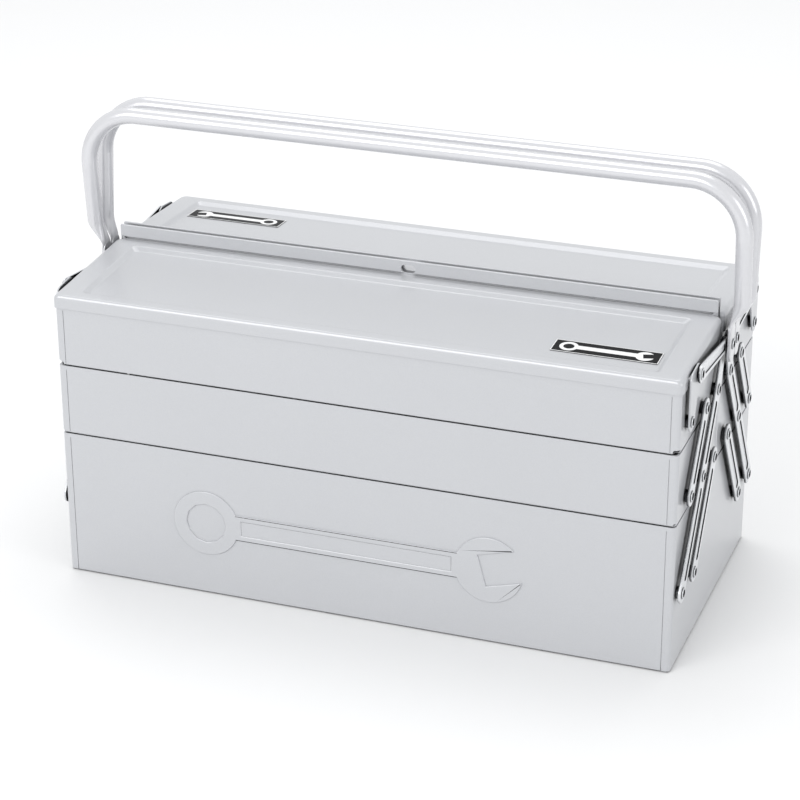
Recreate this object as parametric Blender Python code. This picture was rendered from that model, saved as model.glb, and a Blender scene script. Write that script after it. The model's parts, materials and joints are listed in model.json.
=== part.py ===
"""Five-compartment cantilever toolbox in painted sheet steel.

A base box carries two middle trays and two top trays on lever arms. The front and the rear half
each open by their own tubular handle: the arms swing outwards, the trays stay level, and a link
tips the lid open. Metres, +Z up, +X along the length, -Y to the front. The origin is the middle
of the base's underside. Places on the ends are given as (distance from the middle plane, height).
"""

from math import atan2
from math import cos
from math import pi
from math import radians
from math import sin

import bmesh
import bpy
from mathutils import Matrix
from mathutils import Vector
from mathutils.geometry import convex_hull_2d

# Base and trays
LENGTH = 0.470
DEPTH = 0.225
BASE_HEIGHT = 0.115
MIDDLE_TRAY_TOP = 0.170
TOP_TRAY_TOP = 0.217
SEAM = 0.0004
BASE_SHEET = 0.0010
SHEET = 0.0008
CORNER_RADIUS = 0.003
FLOOR_RADIUS = 0.0015

# Lids, which rise from their outer edge to an upright flange at the middle
LID_OVERHANG = 0.0012
SKIRT_BOTTOM = 0.2158
LID_EDGE_TOP = 0.2260
LID_RIDGE_TOP = 0.2316
FLANGE_TOP = 0.2425
FLANGE_LENGTH = 0.466
LID_EDGE_RADIUS = 0.0018
RIM_AT_ENDS = 0.019
RIM_AT_EDGE = 0.010
RIM_AT_RIDGE = 0.012
PANEL_DEPTH = 0.0025
PANEL_SLOPE = 0.004
PADLOCK_HOLE = (0.0115, 0.0070)
PADLOCK_HOLE_HEIGHT = 0.2360

# Lever arms: every arm leans in by the same angle when the box is shut
ARM_LEAN = radians(34.4)
LOWER_SPAN = 0.084
UPPER_SPAN = 0.063
BASE_LONG_PIVOT = (0.1015, 0.060)
BASE_SHORT_PIVOT = (0.0680, 0.060)
UPPER_SHORT_SPACING = 0.034
CRANK_PIVOT = (0.0062, 0.2123)
LID_PIVOT = (0.0945, 0.1890)
ARM_RADIUS = 0.0075
CRANK_RADIUS = 0.0048
LINK_RADIUS = 0.0065
EAR_RADIUS = 0.0072
EAR_INNER_EDGE = 0.0890
EAR_SHOULDER = 0.1018
EAR_TOP = 0.2255
EAR_BLOCK = ((0.1010, 0.2170), (0.0890, 0.2170), (0.0890, 0.2245), (0.1010, 0.2240))

# Layers outwards from an end wall, as (inner X, outer X)
ARM_LAYER = (0.2374, 0.2394)
EAR_LAYER = (0.2376, 0.2388)
LINK_LAYER = (0.2398, 0.2416)
FOOT_LAYER = (0.2424, 0.2452)

# Rivets
PIN_RADIUS = 0.0030
HOLE_RADIUS = 0.0035
COLLAR_RADIUS = 0.0046
HEAD_RADIUS = 0.0050
HEAD_FACE_RADIUS = 0.0036
HEAD_HEIGHT = 0.0015
INNER_HEAD_RADIUS = 0.0042
CRANK_INNER_HEAD = 0.0005
CLEARANCE = 0.0003
ROUND_SIDES = 10
EAR_SIDES = 16

# Handles
TUBE_RADIUS = 0.00615
HANDLE_HALF_LENGTH = 0.251
HANDLE_TOP = 0.340
HANDLE_BEND_RADIUS = 0.040
FOOT_HALF_WIDTH = 0.0062
FOOT_DISTANCE = 0.0070
BAR_DISTANCE = 0.0135
FOOT_BOTTOM = 0.199
FOOT_TOP = 0.226
TUBE_START = 0.245
SPLAY_END = 0.293
TUBE_SIDES = 12

# Labels
LABEL_SIZE = (0.078, 0.018, 0.0004)
LABEL_PLACE = (0.173, 0.0795)

SIDES = {"front": -1, "rear": 1}
ENDS = {"left": -1, "right": 1}


# ---------------------------------------------------------------- basics

def clear_scene():
    for obj in list(bpy.data.objects):
        bpy.data.objects.remove(obj, do_unlink=True)


def make_material(name, colour, roughness, metallic):
    material = bpy.data.materials.new(name)
    material.use_nodes = True
    shader = material.node_tree.nodes["Principled BSDF"]
    shader.inputs["Base Color"].default_value = (*colour, 1.0)
    shader.inputs["Roughness"].default_value = roughness
    shader.inputs["Metallic"].default_value = metallic
    return material


def body_paint():
    return make_material("body_paint", (0.66, 0.67, 0.69), 0.30, 0.25)


def handle_paint():
    return make_material("handle_paint", (0.80, 0.80, 0.82), 0.28, 0.30)


def arm_paint():
    return make_material("arm_paint", (0.70, 0.71, 0.73), 0.32, 0.60)


def rivet_steel():
    return make_material("rivet_steel", (0.55, 0.56, 0.58), 0.35, 0.90)


def label_black():
    return make_material("label_black", (0.01, 0.01, 0.012), 0.30, 0.0)


def make_object(name, bm, material, pivot=None, smooth=False):
    """Mesh object whose origin is its pivot's empty; the mesh comes in at its place in the box."""
    if pivot:
        bmesh.ops.translate(bm, verts=bm.verts[:], vec=-place_of(pivot))
    mesh = bpy.data.meshes.new(name)
    bm.to_mesh(mesh)
    bm.free()
    mesh.materials.append(material)
    if smooth:
        mesh.shade_smooth()
        mesh.set_sharp_from_angle(angle=radians(40))
    obj = bpy.data.objects.new(name, mesh)
    bpy.context.collection.objects.link(obj)
    obj.parent = pivot
    return obj


def make_pivot(name, point, parent=None):
    """Empty on a joint's axis, whose children turn with it."""
    empty = bpy.data.objects.new(name, None)
    empty.empty_display_size = 0.01
    bpy.context.collection.objects.link(empty)
    empty.parent = parent
    empty.location = point - place_of(parent)
    return empty


def place_of(empty):
    """Place in the box of an empty, none of which is turned."""
    place = Vector((0.0, 0.0, 0.0))
    while empty:
        place += empty.location
        empty = empty.parent
    return place


def hide(obj):
    obj.hide_render = True
    obj.display_type = "WIRE"
    return obj


def add_boolean(obj, other, operation):
    modifier = obj.modifiers.new(other.name, "BOOLEAN")
    modifier.operation = operation
    modifier.solver = "EXACT"
    modifier.object = hide(other)


# ---------------------------------------------------------------- places

def on_end(side, place):
    """(distance from the middle plane, height) as (Y, Z) on one side of the box."""
    return (side * place[0], place[1])


def up_arm(place, span):
    """Place at the upper end of an arm of this span, with the box shut."""
    return (place[0] - span * sin(ARM_LEAN), place[1] + span * cos(ARM_LEAN))


def further_out(place, distance):
    return (place[0] + distance, place[1])


MIDDLE_LONG_PIVOT = up_arm(BASE_LONG_PIVOT, LOWER_SPAN)
TOP_LONG_PIVOT = up_arm(MIDDLE_LONG_PIVOT, UPPER_SPAN)
LOWER_SHORT_TOP = up_arm(BASE_SHORT_PIVOT, LOWER_SPAN)
UPPER_SHORT_FOOT = further_out(MIDDLE_LONG_PIVOT, UPPER_SHORT_SPACING)
UPPER_SHORT_TOP = further_out(TOP_LONG_PIVOT, UPPER_SHORT_SPACING)

# The link and the lid's ear complete a parallelogram with the arm's upper end
LID_LINK_PIVOT = (
    LID_PIVOT[0] + CRANK_PIVOT[0] - TOP_LONG_PIVOT[0],
    LID_PIVOT[1] + CRANK_PIVOT[1] - TOP_LONG_PIVOT[1],
)

LID_OUTER = DEPTH / 2 + LID_OVERHANG
LID_INNER = SEAM + SHEET
LID_HALF_LENGTH = LENGTH / 2 + LID_OVERHANG
LID_RISE = (LID_RIDGE_TOP - LID_EDGE_TOP) / (LID_OUTER - LID_INNER)


def lid_height(distance):
    """Height of the lid's rim at a distance from the middle plane."""
    return LID_EDGE_TOP + LID_RISE * (LID_OUTER - distance)


# ---------------------------------------------------------------- shapes

def circle(centre, radius, sides=ROUND_SIDES):
    angles = [2 * pi * i / sides for i in range(sides)]
    return [(centre[0] + radius * cos(a), centre[1] + radius * sin(a)) for a in angles]


def hull(points):
    flat = [Vector(point) for point in points]
    return [tuple(flat[i]) for i in convex_hull_2d(flat)]


def strip(stations):
    """Outline of a strip with round ends through (y, z, radius) stations."""
    points = [Vector(station[:2]) for station in stations]
    left = []
    right = []
    for i, point in enumerate(points):
        before = points[max(i - 1, 0)]
        after = points[min(i + 1, len(points) - 1)]
        across = (after - before).normalized().orthogonal() * stations[i][2]
        left.append(tuple(point + across))
        right.append(tuple(point - across))
    start = end_arc(points[0], points[0] - points[1], stations[0][2])
    finish = end_arc(points[-1], points[-1] - points[-2], stations[-1][2])
    return left[:-1] + finish + right[-2::-1][:-1] + start[:-1]


def end_arc(centre, outwards, radius, steps=6):
    """Half circle round a strip's end, from its left side over to its right side."""
    middle = atan2(outwards.y, outwards.x)
    angles = [middle + pi / 2 - pi * i / steps for i in range(steps + 1)]
    return [(centre.x + radius * cos(a), centre.y + radius * sin(a)) for a in angles]


def plate(outline, holes, layer, end):
    """Flat plate in a YZ plane, with round holes, between the two X values of its layer."""
    bm = bmesh.new()
    edges = []
    for loop in [outline] + holes:
        verts = [bm.verts.new((end * layer[0], y, z)) for y, z in loop]
        for i, vert in enumerate(verts):
            edges.append(bm.edges.new((verts[i - 1], vert)))
    bmesh.ops.triangle_fill(bm, use_beauty=True, edges=edges)
    grown = bmesh.ops.extrude_face_region(bm, geom=bm.faces[:], use_keep_orig=True)
    outer = [part for part in grown["geom"] if isinstance(part, bmesh.types.BMVert)]
    bmesh.ops.translate(bm, verts=outer, vec=(end * (layer[1] - layer[0]), 0, 0))
    bmesh.ops.recalc_face_normals(bm, faces=bm.faces[:])
    return bm


def skin(bm, rings):
    """Closed skin over a row of rings that all have the same number of points."""
    loops = [[bm.verts.new(point) for point in ring] for ring in rings]
    for near, far in zip(loops, loops[1:]):
        for i in range(len(near)):
            bm.faces.new((near[i - 1], near[i], far[i], far[i - 1]))
    bm.faces.new(loops[0])
    bm.faces.new(loops[-1])


def loft(rings):
    bm = bmesh.new()
    skin(bm, rings)
    bmesh.ops.recalc_face_normals(bm, faces=bm.faces[:])
    return bm


def turned(profile, centre, end, sides=ROUND_SIDES):
    """Turned solid about an X axis through centre; the profile is a row of (x, radius)."""
    rings = []
    for x, radius in profile:
        rings.append([(end * x, y, z) for y, z in circle(centre, radius, sides)])
    return loft(rings)


def long_rods(centres, radius):
    """Parallel rods along X through both ends, to cut holes with."""
    bm = bmesh.new()
    reach = HANDLE_HALF_LENGTH + HANDLE_BEND_RADIUS
    for centre in centres:
        skin(bm, [[(x, y, z) for y, z in circle(centre, radius)] for x in (-reach, reach)])
    bmesh.ops.recalc_face_normals(bm, faces=bm.faces[:])
    return bm


def box(low, high):
    bm = bmesh.new()
    size = Vector(high) - Vector(low)
    middle = (Vector(high) + Vector(low)) / 2
    bmesh.ops.create_cube(bm, size=1.0)
    bmesh.ops.scale(bm, verts=bm.verts[:], vec=size)
    bmesh.ops.translate(bm, verts=bm.verts[:], vec=middle)
    return bm


def upright(edge):
    return abs(edge.verts[0].co.z - edge.verts[1].co.z) > 0.999 * edge.calc_length()


def open_box(name, low, high, sheet, material, pivot=None):
    """Folded sheet box without a top: round upright corners and a small radius at the floor."""
    bm = box(low, high)
    top = [face for face in bm.faces if face.normal.z > 0.9]
    bmesh.ops.delete(bm, geom=top, context="FACES")
    corners = [edge for edge in bm.edges if upright(edge)]
    bmesh.ops.bevel(bm, geom=corners, offset=CORNER_RADIUS, segments=2, profile=0.5,
                    affect="EDGES")
    floor = [edge for edge in bm.edges if not edge.is_boundary
             and all(abs(vert.co.z - low[2]) < 1e-6 for vert in edge.verts)]
    bmesh.ops.bevel(bm, geom=floor, offset=FLOOR_RADIUS, segments=1, affect="EDGES")
    obj = make_object(name, bm, material, pivot)
    solidify = obj.modifiers.new("sheet", "SOLIDIFY")
    solidify.thickness = sheet
    solidify.offset = -1.0
    solidify.use_even_offset = True
    return obj


# ---------------------------------------------------------------- boxes

def make_base(paint):
    low = (-LENGTH / 2, -DEPTH / 2, 0.0)
    high = (LENGTH / 2, DEPTH / 2, BASE_HEIGHT)
    base = open_box("base_box", low, high, BASE_SHEET, paint)
    centres = [on_end(side, place) for side in SIDES.values()
               for place in (BASE_LONG_PIVOT, BASE_SHORT_PIVOT)]
    holes = make_object("base_holes", long_rods(centres, HOLE_RADIUS), paint)
    add_boolean(base, holes, "DIFFERENCE")


def make_tray(name, side, floor, top, pivots, paint, pivot):
    near = min(side * SEAM, side * DEPTH / 2)
    far = max(side * SEAM, side * DEPTH / 2)
    low = (-LENGTH / 2, near, floor)
    high = (LENGTH / 2, far, top)
    tray = open_box(name, low, high, SHEET, paint, pivot)
    centres = [on_end(side, place) for place in pivots]
    holes = make_object(name + "_holes", long_rods(centres, HOLE_RADIUS), paint, pivot)
    add_boolean(tray, holes, "DIFFERENCE")
    return tray


def add_lid_studs(tray, side, paint, pivot):
    """Headed studs on the top tray's ends, on which the lid's ears turn."""
    outer = EAR_LAYER[1] + CLEARANCE
    profile = [
        (LENGTH / 2 - SHEET / 2, COLLAR_RADIUS),
        (EAR_LAYER[0] - CLEARANCE, COLLAR_RADIUS),
        (EAR_LAYER[0] - CLEARANCE, PIN_RADIUS),
        (outer, PIN_RADIUS),
        (outer, HEAD_RADIUS),
        (outer + HEAD_HEIGHT, HEAD_FACE_RADIUS),
    ]
    for end_name, end in ENDS.items():
        stud = turned(profile, on_end(side, LID_PIVOT), end)
        name = f"{tray.name}_{end_name}_stud"
        add_boolean(tray, make_object(name, stud, paint, pivot), "UNION")


# ---------------------------------------------------------------- lids

def lid_shell(side):
    """Lid surface: rim, recessed panel, skirt on three sides and upright flange at the middle."""
    bm = bmesh.new()
    corners = ((-1, 1), (1, 1), (1, 0), (-1, 0))
    rim_outer = []
    rim_inner = []
    panel = []
    for along, out in corners:
        distance = LID_OUTER if out else LID_INNER
        inset = -RIM_AT_EDGE if out else RIM_AT_RIDGE
        slope = -PANEL_SLOPE if out else PANEL_SLOPE
        x = along * LID_HALF_LENGTH
        rim_outer.append(bm.verts.new((x, side * distance, lid_height(distance))))
        x -= along * RIM_AT_ENDS
        distance += inset
        rim_inner.append(bm.verts.new((x, side * distance, lid_height(distance))))
        x -= along * PANEL_SLOPE
        distance += slope
        height = lid_height(distance) - PANEL_DEPTH
        panel.append(bm.verts.new((x, side * distance, height)))
    fold = []
    for along in (1, -1):
        place = (along * FLANGE_LENGTH / 2, side * LID_INNER, LID_RIDGE_TOP)
        fold.append(bm.verts.new(place))
    bm.faces.new((rim_outer[0], rim_outer[1], rim_inner[1], rim_inner[0]))
    bm.faces.new((rim_outer[1], rim_outer[2], rim_inner[2], rim_inner[1]))
    bm.faces.new((rim_outer[2], fold[0], fold[1], rim_outer[3], rim_inner[3], rim_inner[2]))
    bm.faces.new((rim_outer[3], rim_outer[0], rim_inner[0], rim_inner[3]))
    for i in range(4):
        bm.faces.new((rim_inner[i - 1], rim_inner[i], panel[i], panel[i - 1]))
    panel_face = bm.faces.new(panel)
    add_skirt(bm, [rim_outer[3], rim_outer[0], rim_outer[1], rim_outer[2]], SKIRT_BOTTOM)
    add_skirt(bm, fold, FLANGE_TOP)
    bmesh.ops.recalc_face_normals(bm, faces=bm.faces[:])
    if panel_face.normal.z < 0:
        bmesh.ops.reverse_faces(bm, faces=bm.faces[:])
    outer_edges = [edge for edge in bm.edges if not edge.is_boundary
                   and all(vert in rim_outer for vert in edge.verts)]
    bmesh.ops.bevel(bm, geom=outer_edges, offset=LID_EDGE_RADIUS, segments=2, profile=0.5,
                    affect="EDGES")
    return bm


def add_skirt(bm, verts, height):
    """Wall hung from, or stood on, a row of vertices."""
    ends = [bm.verts.new((vert.co.x, vert.co.y, height)) for vert in verts]
    for i in range(1, len(verts)):
        bm.faces.new((verts[i - 1], verts[i], ends[i], ends[i - 1]))


def padlock_cutter():
    length, height = PADLOCK_HOLE
    reach = RIM_AT_RIDGE
    radius = height / 2
    offset = length / 2 - radius
    outline = []
    for along, start in ((offset, -pi / 2), (-offset, pi / 2)):
        for i in range(6):
            angle = start + pi * i / 5
            outline.append((along + radius * cos(angle),
                            PADLOCK_HOLE_HEIGHT + radius * sin(angle)))
    return loft([[(x, y, z) for x, z in outline] for y in (-reach, reach)])


def add_ears(lid, side, paint, pivot):
    """Ears below the lid's ends: a plate with both pivot holes, stood off the skirt by a block."""
    turn = on_end(side, LID_PIVOT)
    link = on_end(side, LID_LINK_PIVOT)
    shoulder = [(side * EAR_SHOULDER, EAR_TOP), (side * EAR_INNER_EDGE, EAR_TOP)]
    rounds = circle(turn, EAR_RADIUS, EAR_SIDES) + circle(link, EAR_RADIUS, EAR_SIDES)
    outline = hull(rounds + shoulder)
    holes = [circle(turn, HOLE_RADIUS), circle(link, HOLE_RADIUS)]
    block = [on_end(side, place) for place in EAR_BLOCK]
    block_layer = (LID_HALF_LENGTH - SHEET / 2, EAR_LAYER[0] + SHEET / 2)
    for end_name, end in ENDS.items():
        name = f"{lid.name}_{end_name}_ear"
        ear = make_object(name, plate(outline, holes, EAR_LAYER, end), paint, pivot)
        stand_off = make_object(name + "_block", plate(block, [], block_layer, end), paint, pivot)
        add_boolean(ear, stand_off, "UNION")
        add_boolean(lid, ear, "UNION")


def make_lid(name, side, paint, pivot):
    lid = make_object(name, lid_shell(side), paint, pivot)
    solidify = lid.modifiers.new("sheet", "SOLIDIFY")
    solidify.thickness = SHEET
    solidify.offset = -1.0
    solidify.use_even_offset = True
    cutter = make_object(name + "_padlock_cutter", padlock_cutter(), paint, pivot)
    add_boolean(lid, cutter, "DIFFERENCE")
    add_ears(lid, side, paint, pivot)
    return lid


def make_label(name, side, black, pivot):
    """Blank name plate near the lid's outer corner, on the recessed panel."""
    length, width, thickness = LABEL_SIZE
    along, distance = LABEL_PLACE
    bm = box((-length / 2, -width / 2, 0.0), (length / 2, width / 2, thickness))
    tilt = Matrix.Rotation(-side * atan2(LID_RISE, 1.0), 4, "X")
    height = lid_height(distance) - PANEL_DEPTH + CLEARANCE
    place = Matrix.Translation((-side * along, side * distance, height))
    bmesh.ops.transform(bm, matrix=place @ tilt, verts=bm.verts[:])
    make_object(name, bm, black, pivot)


# ---------------------------------------------------------------- arms and links

def make_arm(name, side, end, stations, arm_finish, pivot):
    """Flat lever; a station is (distance, height, radius) and has a pivot hole."""
    places = [(*on_end(side, station[:2]), station[2]) for station in stations]
    holes = [circle(place[:2], HOLE_RADIUS) for place in places]
    bm = plate(strip(places), holes, ARM_LAYER, end)
    make_object(name, bm, arm_finish, pivot)


def make_lid_link(name, side, end, arm_finish, pivot):
    """Flat link from the crank pin to the lid's ear, with a headed stud through the ear."""
    crank = on_end(side, CRANK_PIVOT)
    ear = on_end(side, LID_LINK_PIVOT)
    stations = [(*crank, CRANK_RADIUS), (*ear, LINK_RADIUS)]
    link = make_object(name, plate(strip(stations), [circle(crank, HOLE_RADIUS)],
                                   LINK_LAYER, end), arm_finish, pivot)
    profile = [
        (EAR_LAYER[0] - CLEARANCE, PIN_RADIUS),
        (LINK_LAYER[0] + SHEET, PIN_RADIUS),
        (LINK_LAYER[0] + SHEET, HEAD_RADIUS),
        (LINK_LAYER[1] + SHEET, HEAD_RADIUS),
        (LINK_LAYER[1] + HEAD_HEIGHT, HEAD_FACE_RADIUS),
    ]
    stud = make_object(name + "_stud", turned(profile, ear, end), arm_finish, pivot)
    add_boolean(link, stud, "UNION")


# ---------------------------------------------------------------- rivets

def wall_rivet_profile():
    """Shoulder rivet: head inside the wall, collar between wall and arm, head outside the arm."""
    inside = LENGTH / 2 - BASE_SHEET - CLEARANCE
    wall = LENGTH / 2 + CLEARANCE
    outer = ARM_LAYER[1] + CLEARANCE
    return [
        (inside - SHEET, INNER_HEAD_RADIUS),
        (inside, INNER_HEAD_RADIUS),
        (inside, PIN_RADIUS),
        (wall, PIN_RADIUS),
        (wall, COLLAR_RADIUS),
        (ARM_LAYER[0] - CLEARANCE, COLLAR_RADIUS),
        (ARM_LAYER[0] - CLEARANCE, PIN_RADIUS),
        (outer, PIN_RADIUS),
        (outer, HEAD_RADIUS),
        (outer + HEAD_HEIGHT, HEAD_FACE_RADIUS),
    ]


def crank_pin_profile():
    """Rivet through the long arm's upper end, the lid link and the handle's foot."""
    outer = FOOT_LAYER[1] + CLEARANCE
    return [
        (ARM_LAYER[0] - CLEARANCE - CRANK_INNER_HEAD, INNER_HEAD_RADIUS),
        (ARM_LAYER[0] - CLEARANCE, INNER_HEAD_RADIUS),
        (ARM_LAYER[0] - CLEARANCE, PIN_RADIUS),
        (outer, PIN_RADIUS),
        (outer, HEAD_RADIUS),
        (outer + HEAD_HEIGHT, HEAD_FACE_RADIUS),
    ]


def make_rivet(name, side, end, place, profile, steel, pivot):
    make_object(name, turned(profile, on_end(side, place), end), steel, pivot, smooth=True)


# ---------------------------------------------------------------- handles

def section(turn, flatness, half_x, half_y):
    """One point of the tube's section: a circle at flatness 0, a flat bar at flatness 1."""
    along = cos(turn)
    flat = max(-1.0, min(1.0, along * 2.2))
    return (half_x * (along + (flat - along) * flatness), half_y * sin(turn))


def leg_rings(side, end):
    """Rings up one leg: rounded foot, flat plate, change to round tube, splayed leg."""
    foot_middle = sum(FOOT_LAYER) / 2
    foot_half = (FOOT_LAYER[1] - FOOT_LAYER[0]) / 2
    levels = []
    for i in range(4):
        lift = (1 - cos(pi / 2 * (i + 0.4) / 3.4)) * FOOT_HALF_WIDTH
        levels.append((FOOT_BOTTOM + lift, 1.0, sin(pi / 2 * (i + 0.4) / 3.4)))
    for i in range(6):
        share = i / 5
        height = FOOT_TOP + (TUBE_START - FOOT_TOP) * share
        levels.append((height, 1.0 - share * share * (3 - 2 * share), 1.0))
    levels.append(((TUBE_START + SPLAY_END) / 2, 0.0, 1.0))
    rings = []
    for height, flatness, narrowing in levels:
        half_x = TUBE_RADIUS + (foot_half - TUBE_RADIUS) * flatness
        half_y = (TUBE_RADIUS + (FOOT_HALF_WIDTH - TUBE_RADIUS) * flatness) * narrowing
        x = HANDLE_HALF_LENGTH + (foot_middle - HANDLE_HALF_LENGTH) * flatness
        splay = max(0.0, (height - FOOT_TOP) / (SPLAY_END - FOOT_TOP))
        y = side * (FOOT_DISTANCE + (BAR_DISTANCE - FOOT_DISTANCE) * splay)
        ring = []
        for i in range(TUBE_SIDES):
            across_x, across_y = section(2 * pi * i / TUBE_SIDES, flatness, half_x, half_y)
            ring.append((end * (x + across_x), y + across_y, height))
        rings.append(ring)
    return rings


def bend_rings(side, end):
    """Rings round one upper corner, from the top of the leg to the bar."""
    rings = []
    middle_x = HANDLE_HALF_LENGTH - HANDLE_BEND_RADIUS
    middle_z = HANDLE_TOP - TUBE_RADIUS - HANDLE_BEND_RADIUS
    steps = 6
    for step in range(steps + 1):
        swing = pi / 2 * step / steps
        ring = []
        for i in range(TUBE_SIDES):
            turn = 2 * pi * i / TUBE_SIDES
            reach = HANDLE_BEND_RADIUS + TUBE_RADIUS * cos(turn)
            y = side * BAR_DISTANCE + TUBE_RADIUS * sin(turn)
            ring.append((end * (middle_x + reach * cos(swing)), y, middle_z + reach * sin(swing)))
        rings.append(ring)
    return rings


def make_handle(name, side, paint, pivot):
    left = leg_rings(side, -1) + bend_rings(side, -1)
    right = leg_rings(side, 1) + bend_rings(side, 1)
    bm = loft(left + right[::-1])
    handle = make_object(name, bm, paint, pivot, smooth=True)
    rods = long_rods([on_end(side, CRANK_PIVOT)], HOLE_RADIUS)
    add_boolean(handle, make_object(name + "_pin_hole", rods, paint, pivot), "DIFFERENCE")


# ---------------------------------------------------------------- assembly

def side_pivots(side_name, side):
    """Empties on this side's joint axes, each carried by the piece that it turns on."""
    def axis_point(place):
        return Vector((0.0, *on_end(side, place)))

    arms = make_pivot(f"{side_name}_arms_axis", axis_point(BASE_LONG_PIVOT))
    middle = make_pivot(f"{side_name}_middle_tray_axis", axis_point(MIDDLE_LONG_PIVOT), arms)
    top = make_pivot(f"{side_name}_top_tray_axis", axis_point(TOP_LONG_PIVOT), arms)
    return {
        "arms": arms,
        "middle": middle,
        "top": top,
        "lower": make_pivot(f"{side_name}_lower_links_axis", axis_point(BASE_SHORT_PIVOT)),
        "upper": make_pivot(f"{side_name}_upper_links_axis", axis_point(UPPER_SHORT_FOOT), middle),
        "handle": make_pivot(f"{side_name}_handle_axis", axis_point(CRANK_PIVOT), arms),
        "lid": make_pivot(f"{side_name}_lid_axis", axis_point(LID_PIVOT), top),
    }


def make_end(side_name, side, end_name, end, pivots, arm_finish, steel):
    """Arms, link and rivets at one end of one side."""
    prefix = f"{side_name}_{end_name}"
    make_arm(f"{prefix}_long_arm", side, end,
             [(*BASE_LONG_PIVOT, ARM_RADIUS), (*MIDDLE_LONG_PIVOT, ARM_RADIUS),
              (*TOP_LONG_PIVOT, ARM_RADIUS), (*CRANK_PIVOT, CRANK_RADIUS)],
             arm_finish, pivots["arms"])
    make_arm(f"{prefix}_lower_link", side, end,
             [(*BASE_SHORT_PIVOT, ARM_RADIUS), (*LOWER_SHORT_TOP, ARM_RADIUS)],
             arm_finish, pivots["lower"])
    make_arm(f"{prefix}_upper_link", side, end,
             [(*UPPER_SHORT_FOOT, ARM_RADIUS), (*UPPER_SHORT_TOP, ARM_RADIUS)],
             arm_finish, pivots["upper"])
    make_lid_link(f"{prefix}_lid_link", side, end, arm_finish, pivots["handle"])
    wall_rivets = {
        "base_arm_rivet": (BASE_LONG_PIVOT, None),
        "base_link_rivet": (BASE_SHORT_PIVOT, None),
        "middle_arm_rivet": (MIDDLE_LONG_PIVOT, pivots["middle"]),
        "middle_lower_rivet": (LOWER_SHORT_TOP, pivots["middle"]),
        "middle_upper_rivet": (UPPER_SHORT_FOOT, pivots["middle"]),
        "top_arm_rivet": (TOP_LONG_PIVOT, pivots["top"]),
        "top_link_rivet": (UPPER_SHORT_TOP, pivots["top"]),
    }
    for name, (place, pivot) in wall_rivets.items():
        make_rivet(f"{prefix}_{name}", side, end, place, wall_rivet_profile(), steel, pivot)
    make_rivet(f"{prefix}_crank_pin", side, end, CRANK_PIVOT, crank_pin_profile(), steel,
               pivots["handle"])


def make_side(side_name, side, paint, tube_paint, arm_finish, steel, black):
    pivots = side_pivots(side_name, side)
    make_tray(f"{side_name}_middle_tray", side, BASE_HEIGHT + SEAM, MIDDLE_TRAY_TOP,
              (MIDDLE_LONG_PIVOT, LOWER_SHORT_TOP, UPPER_SHORT_FOOT), paint, pivots["middle"])
    top_tray = make_tray(f"{side_name}_top_tray", side, MIDDLE_TRAY_TOP + SEAM, TOP_TRAY_TOP,
                         (TOP_LONG_PIVOT, UPPER_SHORT_TOP), paint, pivots["top"])
    add_lid_studs(top_tray, side, paint, pivots["top"])
    make_lid(f"{side_name}_lid", side, paint, pivots["lid"])
    make_label(f"{side_name}_label", side, black, pivots["lid"])
    make_handle(f"{side_name}_handle", side, tube_paint, pivots["handle"])
    for end_name, end in ENDS.items():
        make_end(side_name, side, end_name, end, pivots, arm_finish, steel)


def main():
    clear_scene()
    paint = body_paint()
    make_base(paint)
    for side_name, side in SIDES.items():
        make_side(side_name, side, paint, handle_paint(), arm_paint(), rivet_steel(), label_black())


main()
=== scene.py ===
import json
from math import atan2
from math import cos
from math import hypot
from math import pi
from math import radians
from math import sin
from math import tan

import bmesh
import bpy
from mathutils import Matrix
from mathutils import Vector


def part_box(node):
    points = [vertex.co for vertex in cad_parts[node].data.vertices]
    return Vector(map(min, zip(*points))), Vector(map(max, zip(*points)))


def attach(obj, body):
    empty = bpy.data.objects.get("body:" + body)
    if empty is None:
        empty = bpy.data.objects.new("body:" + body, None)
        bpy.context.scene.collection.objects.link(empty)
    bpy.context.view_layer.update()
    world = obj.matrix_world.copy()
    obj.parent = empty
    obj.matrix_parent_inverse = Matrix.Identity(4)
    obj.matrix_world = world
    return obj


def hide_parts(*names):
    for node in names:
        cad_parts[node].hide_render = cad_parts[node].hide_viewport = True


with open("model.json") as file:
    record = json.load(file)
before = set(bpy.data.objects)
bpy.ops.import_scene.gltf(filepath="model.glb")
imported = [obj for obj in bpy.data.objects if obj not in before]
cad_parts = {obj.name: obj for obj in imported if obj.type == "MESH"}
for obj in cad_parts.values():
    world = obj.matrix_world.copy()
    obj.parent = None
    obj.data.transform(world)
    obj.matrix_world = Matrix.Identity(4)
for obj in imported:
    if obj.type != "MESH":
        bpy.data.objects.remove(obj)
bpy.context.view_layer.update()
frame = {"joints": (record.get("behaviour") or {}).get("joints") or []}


# ---------------------------------------------------------------- base box
# The deep bottom compartment, folded from 1 mm sheet steel with lapped, spot-welded corners and a
# rim hemmed over inwards. It is sprayed all over in glossy silver-grey enamel, and its front is
# pressed out in the shape of a spanner.

BASE_SHEET = 0.0010
CORNER_RADIUS = 0.003
FLOOR_RADIUS = 0.0018
HEM_GAP = 0.0002
BASE_HEM = 0.009
LAP_DISTANCE = 0.0065
LAP_SIZE = (0.0005, 0.00035)
LAP_BELOW_RIM = 0.003
SPANNER_CENTRE = Vector((-0.010, 0.0, 0.059))
SPANNER_LENGTH = 0.272
SPANNER_HEAD = 0.052
SPANNER_RELIEF = 0.0012
SPANNER_EDGE = 0.0009
SHANK_LINE = (0.60, 0.22)
BODY_COLOUR = (0.47, 0.477, 0.495, 1.0)

base_low, base_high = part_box("base_box")


def deselect():
    bpy.ops.object.select_all(action="DESELECT")


def settle(name):
    """Name the primitive that was just added, and put its place into its mesh."""
    bpy.ops.object.transform_apply(location=True, rotation=True, scale=True)
    piece = bpy.context.object
    piece.name = name
    piece.data.name = name
    return piece


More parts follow.
